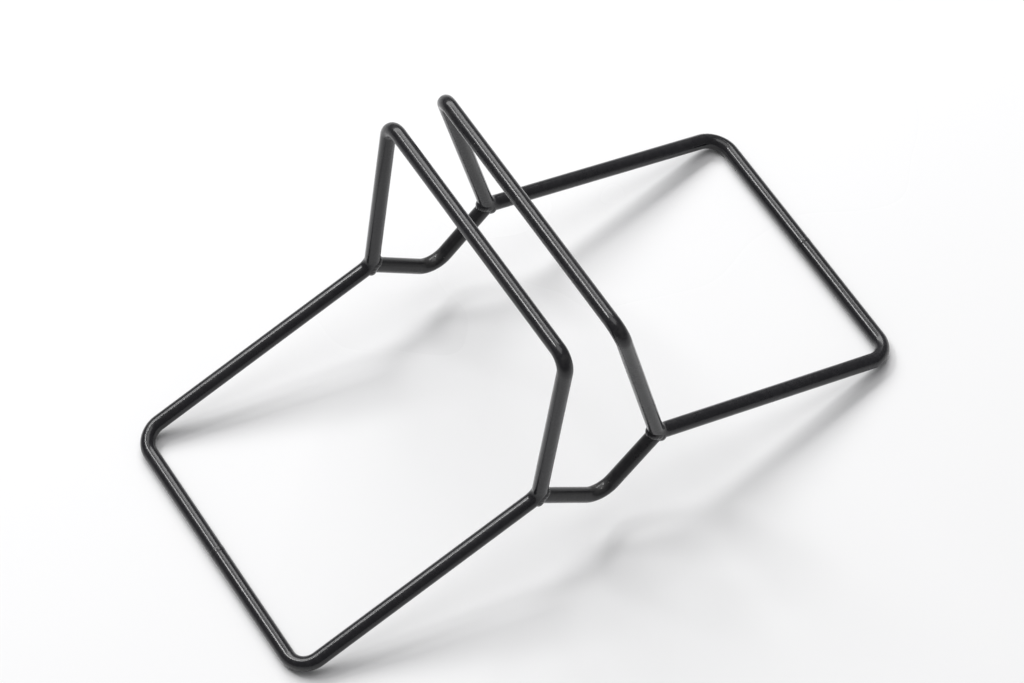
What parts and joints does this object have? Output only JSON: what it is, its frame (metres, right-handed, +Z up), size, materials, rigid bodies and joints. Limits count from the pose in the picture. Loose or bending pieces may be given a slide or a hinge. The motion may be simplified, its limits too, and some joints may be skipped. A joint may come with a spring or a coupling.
{
  "type": "bicycle floor stand",
  "caption": "Floor stand for one bicycle wheel: bent steel rod loops on both sides of the wheel, joined by V shaped cradle rods that carry the tyre.",
  "frame": {"origin": "on the floor, under the middle of the stand", "axes": "+Z up, +Y along the wheel, X across the wheel from the left loop (negative) to the right loop (positive)"},
  "size_m": [0.531, 0.2606, 0.2354],
  "materials": {
    "loop_coating": "black powder coat, satin to semi-gloss",
    "cradle_coating": "black powder coat, satin, rubbed where the tyre rests",
    "weld_coating": "black powder coat over a weld bead, satin"
  },
  "bodies": {
    "root": {"left_loop": "loop_coating", "right_loop": "loop_coating", "left_closing_weld": "weld_coating", "right_closing_weld": "weld_coating", "front_cradle_rod": "cradle_coating", "rear_cradle_rod": "cradle_coating", "front_left_weld_bead": "weld_coating", "front_right_weld_bead": "weld_coating", "rear_left_weld_bead": "weld_coating", "rear_right_weld_bead": "weld_coating"}
  },
  "joints": []
}
